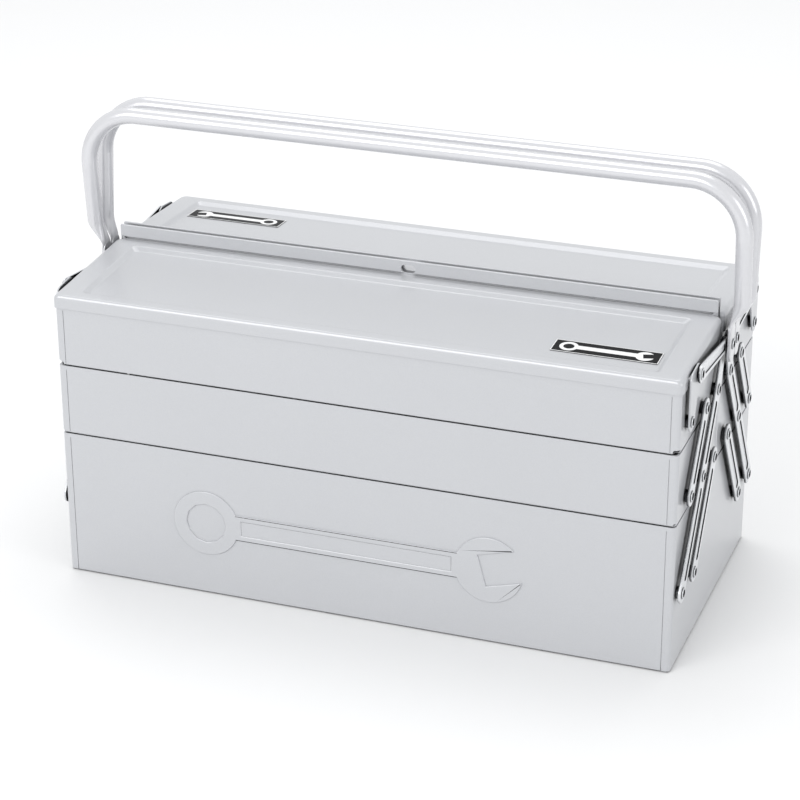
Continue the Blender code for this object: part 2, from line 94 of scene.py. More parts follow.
def block(name, low, high):
    deselect()
    middle = (Vector(low) + Vector(high)) / 2
    size = Vector(high) - Vector(low)
    bpy.ops.mesh.primitive_cube_add(size=1, location=middle, scale=size)
    return settle(name)


def rod(name, centre, radius, length, axis="X", sides=32):
    turn = {"X": (0, pi / 2, 0), "Y": (pi / 2, 0, 0), "Z": (0, 0, 0)}[axis]
    deselect()
    bpy.ops.mesh.primitive_cylinder_add(vertices=sides, radius=radius, depth=length,
                                        location=centre, rotation=turn)
    return settle(name)


def activate(piece):
    deselect()
    piece.select_set(True)
    bpy.context.view_layer.objects.active = piece


def edit(piece):
    activate(piece)
    bpy.ops.object.mode_set(mode="EDIT")


def done():
    bpy.ops.object.mode_set(mode="OBJECT")


def middle_of(element):
    if isinstance(element, bmesh.types.BMVert):
        return element.co
    return sum((vert.co for vert in element.verts), Vector()) / len(element.verts)


def pick(kind, test):
    """In edit mode, select the vertices, edges or faces that pass the test."""
    bpy.ops.mesh.select_mode(type=kind)
    bpy.ops.mesh.select_all(action="DESELECT")
    mesh = bmesh.from_edit_mesh(bpy.context.object.data)
    mesh.normal_update()
    elements = {"VERT": mesh.verts, "EDGE": mesh.edges, "FACE": mesh.faces}[kind]
    for element in [each for each in elements if test(each)]:
        element.select_set(True)
    bmesh.update_edit_mesh(bpy.context.object.data)


def extrude(move):
    bpy.ops.mesh.extrude_region_move(TRANSFORM_OT_translate={"value": move})


def resize(scale, centre):
    bpy.ops.transform.resize(value=scale, center_override=centre)


def bevel(offset, segments):
    bpy.ops.mesh.bevel(offset=offset, segments=segments, affect="EDGES", profile=0.5)


def turn_outwards():
    bpy.ops.mesh.select_all(action="SELECT")
    bpy.ops.mesh.normals_make_consistent(inside=False)


def upright(edge):
    run = edge.verts[1].co - edge.verts[0].co
    return abs(run.z) > 0.999 * run.length


def at_height(height):
    return lambda part: all(abs(vert.co.z - height) < 1e-6 for vert in part.verts)


def apply(piece, kind, **settings):
    modifier = piece.modifiers.new(kind.title(), kind)
    for setting, value in settings.items():
        setattr(modifier, setting, value)
    activate(piece)
    bpy.ops.object.modifier_apply(modifier=modifier.name)


def combine(piece, other, operation):
    """Boolean with another solid, which is used up."""
    apply(piece, "BOOLEAN", operation=operation, solver="EXACT", object=other)
    bpy.data.objects.remove(other, do_unlink=True)


def mirrored(piece, name, flips):
    """Copy with its own mesh, mirrored in the middle planes that have -1 in (x, y) flips."""
    mesh = piece.data.copy()
    mesh.name = name
    mesh.transform(Matrix.Diagonal((flips[0], flips[1], 1, 1)))
    if flips[0] * flips[1] < 0:
        mesh.flip_normals()
    copy = bpy.data.objects.new(name, mesh)
    bpy.context.scene.collection.objects.link(copy)
    return copy


def finish(piece, materials, body, slot, *nodes, sharp=30):
    """Shade and paint a piece, hang it on its body, and let it stand for its CAD nodes."""
    activate(piece)
    bpy.ops.object.shade_smooth_by_angle(angle=radians(sharp))
    apply(piece, "WEIGHTED_NORMAL", weight=100, keep_sharp=True)
    if not piece.data.materials:
        for material in materials:
            piece.data.materials.append(material)
    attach(piece, body)
    if nodes:
        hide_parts(*nodes)


def shader_group(name, inputs, outputs):
    """Empty node group with named float or colour sockets, and its two end nodes."""
    group = bpy.data.node_groups.new(name, "ShaderNodeTree")
    for label, value in inputs.items():
        kind = "NodeSocketColor" if isinstance(value, tuple) else "NodeSocketFloat"
        socket = group.interface.new_socket(label, in_out="INPUT", socket_type=kind)
        socket.default_value = value
    for label, kind in outputs.items():
        group.interface.new_socket(label, in_out="OUTPUT", socket_type=kind)
    return group, group.nodes.new("NodeGroupInput"), group.nodes.new("NodeGroupOutput")


def make_spray_group():
    """Sprayed metallic enamel: fine bright flake, faint cloudiness, and orange-peel ripple."""
    group, into, out = shader_group(
        "sprayed_enamel",
        {"Colour": (0.6, 0.6, 0.6, 1.0), "Flake": 0.05, "Cloud": 0.04, "Roughness": 0.3,
         "Peel Size": 260.0, "Peel Depth": 0.05},
        {"Colour": "NodeSocketColor", "Roughness": "NodeSocketFloat",
         "Normal": "NodeSocketVector"})
    nodes = group.nodes
    link = group.links.new
    place = nodes.new("ShaderNodeTexCoord")
    flake = nodes.new("ShaderNodeTexVoronoi")
    flake.inputs["Scale"].default_value = 2600.0
    link(place.outputs["Object"], flake.inputs["Vector"])
    cloud = nodes.new("ShaderNodeTexNoise")
    cloud.inputs["Scale"].default_value = 9.0
    cloud.inputs["Detail"].default_value = 3.0
    link(place.outputs["Object"], cloud.inputs["Vector"])
    level = nodes.new("ShaderNodeSeparateColor")
    link(flake.outputs["Color"], level.inputs["Color"])
    glint = nodes.new("ShaderNodeMath")
    glint.operation = "MULTIPLY_ADD"
    glint.inputs[2].default_value = 1.0
    link(level.outputs["Red"], glint.inputs[0])
    link(into.outputs["Flake"], glint.inputs[1])
    haze = nodes.new("ShaderNodeMath")
    haze.operation = "SUBTRACT"
    haze.inputs[1].default_value = 0.5
    link(cloud.outputs["Fac"], haze.inputs[0])
    drift = nodes.new("ShaderNodeMath")
    drift.operation = "MULTIPLY_ADD"
    link(haze.outputs[0], drift.inputs[0])
    link(into.outputs["Cloud"], drift.inputs[1])
    link(glint.outputs[0], drift.inputs[2])
    tone = nodes.new("ShaderNodeVectorMath")
    tone.operation = "SCALE"
    link(into.outputs["Colour"], tone.inputs["Vector"])
    link(drift.outputs[0], tone.inputs["Scale"])
    link(tone.outputs["Vector"], out.inputs["Colour"])
    gloss = nodes.new("ShaderNodeMath")
    gloss.operation = "MULTIPLY_ADD"
    gloss.inputs[1].default_value = 0.12
    link(haze.outputs[0], gloss.inputs[0])
    link(into.outputs["Roughness"], gloss.inputs[2])
    link(gloss.outputs[0], out.inputs["Roughness"])
    ripple = nodes.new("ShaderNodeTexNoise")
    ripple.inputs["Detail"].default_value = 1.5
    link(place.outputs["Object"], ripple.inputs["Vector"])
    link(into.outputs["Peel Size"], ripple.inputs["Scale"])
    bump = nodes.new("ShaderNodeBump")
    bump.inputs["Distance"].default_value = 0.0004
    link(into.outputs["Peel Depth"], bump.inputs["Strength"])
    link(ripple.outputs["Fac"], bump.inputs["Height"])
    link(bump.outputs["Normal"], out.inputs["Normal"])
    return group


def make_gap_group():
    """Painted shade in narrow gaps, folds and hollows, which darkens their colour and takes away
    their gloss.

    The painted shade starts where less than Open of the sky within Reach is free, and is full at
    Closed.
    """
    group, into, out = shader_group(
        "gap_shade",
        {"Colour": (0.6, 0.6, 0.6, 1.0), "Painted Shade Colour": (0.012, 0.012, 0.014, 1.0),
         "Open": 0.5, "Closed": 0.22, "Reach": 0.010, "Metallic": 0.15, "Coat": 0.5},
        {"Colour": "NodeSocketColor", "Metallic": "NodeSocketFloat", "Coat": "NodeSocketFloat"})
    nodes = group.nodes
    link = group.links.new
    # Ambient occlusion mask that places the painted shade in gaps and hollows.
    opening = nodes.new("ShaderNodeAmbientOcclusion")
    opening.samples = 8
    link(into.outputs["Reach"], opening.inputs["Distance"])
    share = nodes.new("ShaderNodeMapRange")
    share.interpolation_type = "SMOOTHSTEP"
    link(opening.outputs["AO"], share.inputs["Value"])
    link(into.outputs["Open"], share.inputs["From Min"])
    link(into.outputs["Closed"], share.inputs["From Max"])
    mix = nodes.new("ShaderNodeMix")
    mix.data_type = "RGBA"
    link(share.outputs["Result"], mix.inputs["Factor"])
    link(into.outputs["Colour"], mix.inputs["A"])
    link(into.outputs["Painted Shade Colour"], mix.inputs["B"])
    link(mix.outputs["Result"], out.inputs["Colour"])
    # In the painted shade Metallic rises to 1 with the near-black colour and the coat thins, so
    # gaps reflect little.
    metallic = nodes.new("ShaderNodeMath")
    metallic.operation = "MAXIMUM"
    link(share.outputs["Result"], metallic.inputs[0])
    link(into.outputs["Metallic"], metallic.inputs[1])
    link(metallic.outputs[0], out.inputs["Metallic"])
    free = nodes.new("ShaderNodeMath")
    free.operation = "SUBTRACT"
    free.inputs[0].default_value = 1.0
    link(share.outputs["Result"], free.inputs[1])
    gloss = nodes.new("ShaderNodeMath")
    gloss.operation = "MULTIPLY"
    link(free.outputs[0], gloss.inputs[0])
    link(into.outputs["Coat"], gloss.inputs[1])
    link(gloss.outputs[0], out.inputs["Coat"])
    return group


spray_group = make_spray_group()
gap_group = make_gap_group()


def enamel(name, colour, roughness, metallic, coat, shade=(0.50, 0.22)):
    """Metallic finish on steel, with painted shade in gaps, between two amounts of open space."""
    material = bpy.data.materials.new(name)
    material.use_nodes = True
    nodes = material.node_tree.nodes
    link = material.node_tree.links.new
    shader = nodes["Principled BSDF"]
    shader.inputs["Coat Roughness"].default_value = 0.15
    spray = nodes.new("ShaderNodeGroup")
    spray.node_tree = spray_group
    spray.inputs["Colour"].default_value = colour
    spray.inputs["Roughness"].default_value = roughness
    # Painted shade in gaps and hollows, from the gap_shade group.
    gaps = nodes.new("ShaderNodeGroup")
    gaps.node_tree = gap_group
    gaps.inputs["Open"].default_value = shade[0]
    gaps.inputs["Closed"].default_value = shade[1]
    gaps.inputs["Metallic"].default_value = metallic
    gaps.inputs["Coat"].default_value = coat
    link(spray.outputs["Colour"], gaps.inputs["Colour"])
    link(gaps.outputs["Colour"], shader.inputs["Base Color"])
    link(gaps.outputs["Metallic"], shader.inputs["Metallic"])
    if coat:
        link(gaps.outputs["Coat"], shader.inputs["Coat Weight"])
    link(spray.outputs["Roughness"], shader.inputs["Roughness"])
    link(spray.outputs["Normal"], shader.inputs["Normal"])
    return material


# Its default shade limits paint shade in the seams, holes and the gaps behind the arms.
body_paint = enamel("body_paint", BODY_COLOUR, roughness=0.32, metallic=0.15, coat=0.5)


def square_across(edge):
    """True where both faces of the edge lie level, as across the top of a folded rim."""
    return all(face.normal.z > 0.9 for face in edge.link_faces)


def folded_box(name, low, high, sheet, hem):
    """Sheet box without a top: round upright corners, small floor radius, rim folded inwards."""
    piece = block(name, low, high)
    size = Vector(high) - Vector(low)
    centre = (Vector(low) + Vector(high)) / 2
    fold = 2 * sheet + HEM_GAP
    edit(piece)
    pick("FACE", at_height(high[2]))
    bpy.ops.mesh.delete(type="FACE")
    pick("EDGE", upright)
    bevel(CORNER_RADIUS, 5)
    pick("EDGE", at_height(low[2]))
    bevel(FLOOR_RADIUS, 3)
    pick("EDGE", lambda edge: edge.is_boundary)
    extrude((0, 0, 0))
    resize(((size.x - 2 * fold) / size.x, (size.y - 2 * fold) / size.y, 1), centre)
    extrude((0, 0, -hem))
    pick("EDGE", lambda edge: at_height(high[2])(edge) and not square_across(edge))
    bevel(sheet / 2, 2)
    done()
    apply(piece, "SOLIDIFY", thickness=sheet, offset=-1, use_even_offset=True)
    return piece


def cut_laps(piece, low, high):
    """Fine upright line on the front and back, where a side sheet laps over the end sheet."""
    width, depth = LAP_SIZE
    for along in (-1, 1):
        for face_y in (low[1], high[1]):
            x = along * (high[0] - LAP_DISTANCE)
            groove = block("lap", (x - width / 2, face_y - depth, low[2] - 0.001),
                           (x + width / 2, face_y + depth, high[2] - LAP_BELOW_RIM))
            combine(piece, groove, "DIFFERENCE")


def spanner(name, length, head, thickness):
    """Plain combination spanner lying on the XY plane: ring at -X, jaws at +X."""
    reach = length / 2 - head / 2
    shank = 0.40 * head
    ring_radius = 0.30 * head
    jaw_half = 0.24 * head
    jaw_bottom = -0.10 * head
    jaw_mouth = 0.70 * head
    jaw_turn = radians(15)
    piece = rod(name, (-reach, 0, thickness / 2), head / 2, thickness, "Z", 48)
    jaws = rod("jaws", (reach, 0, thickness / 2), head / 2, thickness, "Z", 48)
    combine(piece, jaws, "UNION")
    bar = block("bar", (-reach, -shank / 2, 0), (reach, shank / 2, thickness))
    combine(piece, bar, "UNION")
    ring = rod("ring", (-reach, 0, 0), ring_radius, 4 * thickness, "Z", 12)
    combine(piece, ring, "DIFFERENCE")
    gap = block("gap", (jaw_bottom, -jaw_half, -thickness), (jaw_mouth, jaw_half, 2 * thickness))
    gap.rotation_euler = (0, 0, jaw_turn)
    gap.location = (reach, 0, 0)
    activate(gap)
    bpy.ops.object.transform_apply(location=True, rotation=True)
    combine(piece, gap, "DIFFERENCE")
    return piece


def rim_edge(height):
    """Edges where a level face at this height meets a side."""
    def test(edge):
        sides = [face for face in edge.link_faces if abs(face.normal.z) < 0.5]
        return at_height(height)(edge) and len(sides) == 1
    return test


base = folded_box("base_box_shell", base_low, base_high, BASE_SHEET, BASE_HEM)
cut_laps(base, base_low, base_high)
relief_thickness = SPANNER_RELIEF + BASE_SHEET / 2
relief = spanner("relief", SPANNER_LENGTH, SPANNER_HEAD, relief_thickness)
line_half = Vector((SHANK_LINE[0] * SPANNER_LENGTH / 2, SHANK_LINE[1] * SPANNER_HEAD / 2, 0))
shank_line = block("shank_line", Vector((0, 0, SPANNER_RELIEF)) - line_half,
                   Vector((0, 0, 4 * SPANNER_RELIEF)) + line_half)
combine(relief, shank_line, "DIFFERENCE")
edit(relief)
pick("EDGE", rim_edge(relief_thickness))
bevel(SPANNER_EDGE, 3)
done()
relief.rotation_euler = (pi / 2, 0, 0)
relief.location = SPANNER_CENTRE + Vector((0, base_low.y + BASE_SHEET / 2, 0))
activate(relief)
bpy.ops.object.transform_apply(location=True, rotation=True)
combine(base, relief, "UNION")
finish(base, [body_paint], "base", "body_paint", "base_box")


# ---------------------------------------------------------------- trays
# Two middle and two top trays, folded from 0.8 mm sheet like the base. Each bottom corner has the
# small relief hole that is left where three folds meet. The same silver-grey enamel.

TRAY_SHEET = 0.0008
TRAY_HEM = 0.007
RELIEF_SIZE = {"middle": (0.0024, 0.0026), "top": (0.0046, 0.0036)}


def tray(name, node, relief_size):
    reach, height = relief_size
    low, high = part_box(node)
    low.x, high.x = base_low.x, base_high.x
    piece = folded_box(name, low, high, TRAY_SHEET, TRAY_HEM)
    cut_laps(piece, low, high)
    for x in (low.x, high.x):
        for y in (low.y, high.y):
            corner = block("relief", (x - reach, y - reach, low.z - height),
                           (x + reach, y + reach, low.z + height))
            edit(corner)
            pick("EDGE", lambda edge: at_height(low.z + height)(edge) or upright(edge))
            bevel(height * 0.5, 3)
            done()
            combine(piece, corner, "DIFFERENCE")
    return piece


for level in ("middle", "top"):
    front_tray = tray(f"front_{level}_tray_shell", f"front_{level}_tray", RELIEF_SIZE[level])
    rear_tray = mirrored(front_tray, f"rear_{level}_tray_shell", (1, -1))
    finish(front_tray, [body_paint], f"front_{level}_tray", "body_paint", f"front_{level}_tray")
    finish(rear_tray, [body_paint], f"rear_{level}_tray", "body_paint", f"rear_{level}_tray")


# ---------------------------------------------------------------- arms and links
# Levers pressed from steel strip, with round ends, eased edges and a stiffening channel along the
# middle. They are sprayed bright silver, and the rivets' collars hold them off the sheet.

ARM_RADIUS = 0.0075
CRANK_RADIUS = 0.0048
LINK_RADIUS = 0.0065
ARM_EDGE = 0.00045
CHANNEL_RADIUS = 0.0030
CHANNEL_DEPTH = 0.0007
CHANNEL_START = 0.0115
ARM_HOLE = 0.0035
ARM_COLOUR = (0.66, 0.67, 0.69, 1.0)
CORNERS = {"front_right": (1, 1), "front_left": (-1, 1), "rear_right": (1, -1),
           "rear_left": (-1, -1)}

joint_place = {joint["name"]: Vector(joint["pos_m"]) for joint in frame["joints"]}
base_long = joint_place["front_fan"]
base_short = joint_place["front_lower_links_turn"]
middle_long = joint_place["front_middle_tray_level"]
upper_foot = joint_place["front_upper_links_turn"]
top_long = joint_place["front_top_tray_level"]
crank = joint_place["front_handle_level"]
ear_pivot = joint_place["front_lid_open"]
lower_top = base_short + middle_long - base_long
upper_top = upper_foot + top_long - middle_long
link_pivot = ear_pivot + crank - top_long

# Its high shade limits paint shade on the arms' edges and in the gaps beside them.
arm_paint = enamel("arm_paint", ARM_COLOUR, roughness=0.28, metallic=0.30, coat=0.4,
                   shade=(0.94, 0.62))


def layer_of(node):
    low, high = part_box(node)
    return low.x, high.x


def strip(name, start, stop, radius, stop_radius, layer):
    """Flat strip with round ends across X, from a circle whose far half is drawn out."""
    deselect()
    bpy.ops.mesh.primitive_circle_add(vertices=40, radius=radius, fill_type="NGON",
                                      location=(layer[0], start.y, start.z),
                                      rotation=(0, pi / 2, 0))
    piece = settle(name)
    run = stop - start
    edit(piece)
    pick("VERT", lambda vert: (vert.co - start).dot(run) > 1e-7)
    bpy.ops.transform.translate(value=run)
    resize((1, stop_radius / radius, stop_radius / radius), (layer[0], stop.y, stop.z))
    pick("FACE", lambda face: True)
    extrude((layer[1] - layer[0], 0, 0))
    turn_outwards()
    done()
    return piece


def ease_edges(piece, size):
    """Round the edges between the flats and the sides of a strip."""
    def along_flat(edge):
        flats = [abs(face.normal.x) > 0.9 for face in edge.link_faces]
        return len(flats) == 2 and flats[0] != flats[1]
    edit(piece)
    bpy.ops.mesh.select_all(action="SELECT")
    bpy.ops.mesh.dissolve_limited(angle_limit=radians(1))
    pick("EDGE", along_flat)
    bevel(size, 2)
    done()


def drill(piece, places, layer):
    middle = sum(layer) / 2
    for place in places:
        hole = rod("hole", (middle, place.y, place.z), ARM_HOLE, 0.01)
        combine(piece, hole, "DIFFERENCE")


def press_channel(piece, start, stop, layer):
    way = (stop - start).normalized() * CHANNEL_START
    channel = strip("channel", start + way, stop - way, CHANNEL_RADIUS, CHANNEL_RADIUS,
                    (layer[1] - CHANNEL_DEPTH, layer[1] + CHANNEL_DEPTH))
    combine(piece, channel, "DIFFERENCE")


def lever(name, start, stop, layer):
    piece = strip(name, start, stop, ARM_RADIUS, ARM_RADIUS, layer)
    ease_edges(piece, ARM_EDGE)
    press_channel(piece, start, stop, layer)
    drill(piece, (start, stop), layer)
    return piece


def four_corners(piece, label, material, body, slot, node=None):
    """Put a front right piece at all four corners of the box."""
    for corner, flips in CORNERS.items():
        copy = mirrored(piece, f"{corner}_{label}", flips)
        side = corner.split("_")[0]
        owner = body if body == "base" else f"{side}_{body}"
        names = [f"{corner}_{node}"] if node else []
        finish(copy, [material], owner, slot, *names)
    bpy.data.objects.remove(piece, do_unlink=True)


arm_layer = layer_of("front_right_long_arm")
long_arm = strip("long_arm", base_long, top_long, ARM_RADIUS, ARM_RADIUS, arm_layer)
combine(long_arm, strip("crank", top_long, crank, ARM_RADIUS, CRANK_RADIUS, arm_layer), "UNION")
ease_edges(long_arm, ARM_EDGE)
press_channel(long_arm, base_long, middle_long, arm_layer)
press_channel(long_arm, middle_long, top_long, arm_layer)
drill(long_arm, (base_long, middle_long, top_long, crank), arm_layer)
four_corners(long_arm, "arm", arm_paint, "arms", "arm_paint", "long_arm")
four_corners(lever("lower_link", base_short, lower_top, arm_layer), "lower_lever", arm_paint,
             "lower_links", "arm_paint", "lower_link")
four_corners(lever("upper_link", upper_foot, upper_top, arm_layer), "upper_lever", arm_paint,
             "upper_links", "arm_paint", "upper_link")


# ---------------------------------------------------------------- lids
# Each lid is one pressing: a rim that rises to the middle, a recessed panel, a skirt with a rolled
# edge over the tray, and a hemmed flange at the middle with an oblong hole for a padlock. An ear
# at each end is joggled outwards, and hangs the lid on the top tray. Silver-grey enamel.

LID_SHEET = 0.0008
LID_OVERHANG = 0.0012
LID_EDGE_TOP = 0.2260
LID_RIDGE_TOP = 0.2316
FLANGE_TOP = 0.2425
FLANGE_HEM = 0.0085
FLANGE_SET_BACK = 0.0018
RIM_AT_ENDS = 0.019
RIM_AT_EDGE = 0.010
RIM_AT_RIDGE = 0.012
PANEL_DEPTH = 0.0025
PANEL_SLOPE = 0.004
PANEL_CORNER = 0.0032
PANEL_BEND = 0.0010
ROLLED_EDGE = 0.0044
FLANGE_BEND = 0.0006
SKIRT_BOTTOM = 0.2158
PADLOCK_HOLE = (0.0112, 0.0066)
PADLOCK_HEIGHT = 0.2360
EAR_RADIUS = 0.0072
EAR_INNER_EDGE = 0.0890
EAR_OUTER_EDGE = 0.1018
EAR_SHOULDER_HEIGHT = 0.2195
EAR_LAYER = (0.2376, 0.2388)
EAR_EDGE = 0.0003
JOGGLE_WIDTH = (-0.1000, -0.0900)
JOGGLE_HEIGHT = (0.2170, 0.2232)
JOGGLE_BEND = 0.0006

lid_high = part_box("front_lid")[1]
lid_outer = base_high.y + LID_OVERHANG
lid_inner = -lid_high.y + FLANGE_SET_BACK + LID_SHEET
lid_half = base_high.x + LID_OVERHANG
lid_slope = atan2(LID_RIDGE_TOP - LID_EDGE_TOP, lid_outer - lid_inner)
lid_width = hypot(LID_RIDGE_TOP - LID_EDGE_TOP, lid_outer - lid_inner)


def spread(half_length, near, far, from_half, from_near, from_far):
    """Stretch what is selected from one rectangle to another, given as half X, low Y, high Y."""
    centre = (from_near + from_far) / 2
    resize((half_length / from_half, (far - near) / (from_far - from_near), 1), (0, centre, 0))
    bpy.ops.transform.translate(value=(0, (near + far) / 2 - centre, 0))


def lid_pressing():
    """Rim, recessed panel and outline, flat, with its outer edge on the X axis."""
    slope_half = lid_half - RIM_AT_ENDS
    slope_near = RIM_AT_EDGE
    slope_far = lid_width - RIM_AT_RIDGE
    panel_half = slope_half - PANEL_SLOPE
    panel_near = slope_near + PANEL_SLOPE
    panel_far = slope_far - PANEL_SLOPE
    deselect()
    bpy.ops.mesh.primitive_plane_add(size=1, location=(0, (panel_near + panel_far) / 2, 0))
    piece = settle("front_lid_shell")
    edit(piece)
    spread(panel_half, panel_near, panel_far, 0.5, (panel_near + panel_far) / 2 - 0.5,
           (panel_near + panel_far) / 2 + 0.5)
    bpy.ops.transform.translate(value=(0, 0, -PANEL_DEPTH))
    bpy.ops.mesh.bevel(offset=PANEL_CORNER, segments=5, affect="VERTICES", profile=0.5)
    pick("EDGE", lambda edge: edge.is_boundary)
    extrude((0, 0, PANEL_DEPTH))
    spread(slope_half, slope_near, slope_far, panel_half, panel_near, panel_far)
    extrude((0, 0, 0))
    spread(lid_half, 0, lid_width, slope_half, slope_near, slope_far)
    done()
    return piece


def tilt_and_place(piece, distance, height):
    """Tilt a flat piece up towards the middle, with its X axis at the lid's outer edge."""
    piece.rotation_euler = (lid_slope, 0, 0)
    piece.location = (0, -distance, height)
    activate(piece)
    bpy.ops.object.transform_apply(location=True, rotation=True)


def on_ridge(edge):
    """Open edges along the middle of the box, where the flange rises."""
    return edge.is_boundary and all(vert.co.y > -lid_inner - 1e-5 for vert in edge.verts)


def angle_between(edge, smallest, largest):
    if len(edge.link_faces) != 2:
        return False
    angle = edge.link_faces[0].normal.angle(edge.link_faces[1].normal)
    return radians(smallest) < angle < radians(largest)


def outer_fold(edge):
    """Edges where the rim turns down into the skirt, and the skirt's upright corners."""
    middle = middle_of(edge)
    outside = middle.y < -lid_inner - 1e-4 and middle.z < LID_RIDGE_TOP + 1e-4
    return outside and angle_between(edge, 70, 110)


def round_hole(piece, size, height):
    """Oblong hole through an upright flange, cut by a bar with round ends."""
    length, breadth = size
    offset = length / 2 - breadth / 2
    bar = block("bar", (-offset, -0.01, height - breadth / 2), (offset, 0.01, height + breadth / 2))
    for along in (-offset, offset):
        combine(bar, rod("end", (along, 0, height), breadth / 2, 0.02, "Y"), "UNION")
    combine(piece, bar, "DIFFERENCE")


lid = lid_pressing()
tilt_and_place(lid, lid_outer, LID_EDGE_TOP)
edit(lid)
pick("EDGE", lambda edge: angle_between(edge, 10, 60))
bevel(PANEL_BEND, 3)
pick("EDGE", lambda edge: edge.is_boundary and not on_ridge(edge))
extrude((0, 0, -0.001))
resize((1, 1, 0), (0, 0, SKIRT_BOTTOM))
pick("EDGE", lambda edge: on_ridge(edge) and not upright(edge))
extrude((0, 0, FLANGE_TOP - LID_SHEET - LID_RIDGE_TOP))
extrude((0, -HEM_GAP, 0))
extrude((0, 0, -FLANGE_HEM))
pick("EDGE", outer_fold)
bevel(ROLLED_EDGE, 6)
done()
apply(lid, "SOLIDIFY", thickness=LID_SHEET, offset=-1, use_even_offset=True)
edit(lid)
pick("EDGE", lambda edge: at_height(FLANGE_TOP)(edge) and angle_between(edge, 80, 100))
bevel(FLANGE_BEND, 3)
done()
round_hole(lid, PADLOCK_HOLE, PADLOCK_HEIGHT)

ear = strip("ear", ear_pivot, link_pivot, EAR_RADIUS, EAR_RADIUS, EAR_LAYER)
shoulder_middle = Vector((0, -(EAR_OUTER_EDGE + EAR_INNER_EDGE) / 2, EAR_SHOULDER_HEIGHT))
for foot in (ear_pivot, link_pivot):
    combine(ear, strip("shoulder", foot, shoulder_middle, EAR_RADIUS,
                       (EAR_OUTER_EDGE - EAR_INNER_EDGE) / 2, EAR_LAYER), "UNION")
ease_edges(ear, EAR_EDGE)
drill(ear, (ear_pivot, link_pivot), EAR_LAYER)
joggle = block("joggle", (lid_half - LID_SHEET, JOGGLE_WIDTH[0], JOGGLE_HEIGHT[0]),
               (EAR_LAYER[1] - EAR_EDGE, JOGGLE_WIDTH[1], JOGGLE_HEIGHT[1]))
edit(joggle)
pick("EDGE", lambda edge: middle_of(edge).x > EAR_LAYER[0])
bevel(JOGGLE_BEND, 2)
done()
combine(ear, joggle, "UNION")
left_ear = mirrored(ear, "left_ear", (-1, 1))
combine(lid, ear, "UNION")
combine(lid, left_ear, "UNION")
rear_lid = mirrored(lid, "rear_lid_shell", (1, -1))
finish(lid, [body_paint], "front_lid", "body_paint", "front_lid")
finish(rear_lid, [body_paint], "rear_lid", "body_paint", "rear_lid")


# ---------------------------------------------------------------- label plates
# Thin plates stuck on the recessed panels, at opposite corners of the box. They are printed black
# inside a narrow white border, with a plain white spanner.

LABEL_LENGTH = 0.0770
LABEL_WIDTH = 0.0180
LABEL_THICKNESS = 0.0004
LABEL_PLACE = (0.173, 0.0793)
LABEL_BORDER = 0.0007
LABEL_EDGE = 0.00012
LABEL_GAP = 0.0001
EMBLEM_LENGTH = 0.88 * LABEL_LENGTH
EMBLEM_HEAD = 0.74 * LABEL_WIDTH
EMBLEM_THICKNESS = 0.0001


def plain_gloss(name, colour, roughness, ripple):
    """Smooth surface with faint unevenness and little shine: the labels' print, and the painted
    shade inside the rivets' hollows.
    """
    material = bpy.data.materials.new(name)
    material.use_nodes = True
    shader = material.node_tree.nodes["Principled BSDF"]
    shader.inputs["Specular IOR Level"].default_value = 0.08
    spray = material.node_tree.nodes.new("ShaderNodeGroup")
    spray.node_tree = spray_group
    spray.inputs["Colour"].default_value = colour
    spray.inputs["Flake"].default_value = 0.0
    spray.inputs["Roughness"].default_value = roughness
    spray.inputs["Peel Depth"].default_value = ripple
    for output, target in (("Colour", "Base Color"), ("Roughness", "Roughness"),
                           ("Normal", "Normal")):
        material.node_tree.links.new(spray.outputs[output], shader.inputs[target])
    return material


label_black = plain_gloss("label_black", (0.004, 0.004, 0.005, 1.0), 0.30, 0.02)
label_white = plain_gloss("label_white", (0.80, 0.80, 0.80, 1.0), 0.35, 0.02)

label = block("front_label_plate", (-LABEL_LENGTH / 2, -LABEL_WIDTH / 2, 0),
              (LABEL_LENGTH / 2, LABEL_WIDTH / 2, LABEL_THICKNESS))
label.data.materials.append(label_black)
label.data.materials.append(label_white)
edit(label)
pick("FACE", at_height(LABEL_THICKNESS))
bpy.ops.mesh.inset(thickness=LABEL_BORDER)
pick("FACE", lambda face: at_height(LABEL_THICKNESS)(face)
     and face.calc_area() < 0.5 * LABEL_LENGTH * LABEL_WIDTH)
bpy.context.object.active_material_index = 1
bpy.ops.object.material_slot_assign()
pick("EDGE", lambda edge: angle_between(edge, 80, 100))
bevel(LABEL_EDGE, 2)
done()
emblem = spanner("emblem", EMBLEM_LENGTH, EMBLEM_HEAD, EMBLEM_THICKNESS)
emblem.location = (0, 0, LABEL_THICKNESS)
emblem.data.materials.append(label_white)
activate(emblem)
bpy.ops.object.transform_apply(location=True, rotation=True)
label.select_set(True)
bpy.context.view_layer.objects.active = label
bpy.ops.object.join()
label.rotation_euler = (lid_slope, 0, 0)
panel_top = LID_EDGE_TOP + (lid_outer - LABEL_PLACE[1]) * tan(lid_slope) - PANEL_DEPTH
label.location = (LABEL_PLACE[0], -LABEL_PLACE[1], panel_top + LABEL_GAP)
activate(label)
bpy.ops.object.transform_apply(location=True, rotation=True)
rear_label = mirrored(label, "rear_label_plate", (-1, -1))
finish(label, [], "front_lid", "label_black", "front_label")
finish(rear_label, [], "rear_lid", "label_black", "rear_label")


# ---------------------------------------------------------------- handles
# Two bails bent from 12 mm steel tube. Their ends are flattened and riveted to the lid links, and
# the legs splay so that both bars lie side by side. Bright silver enamel.

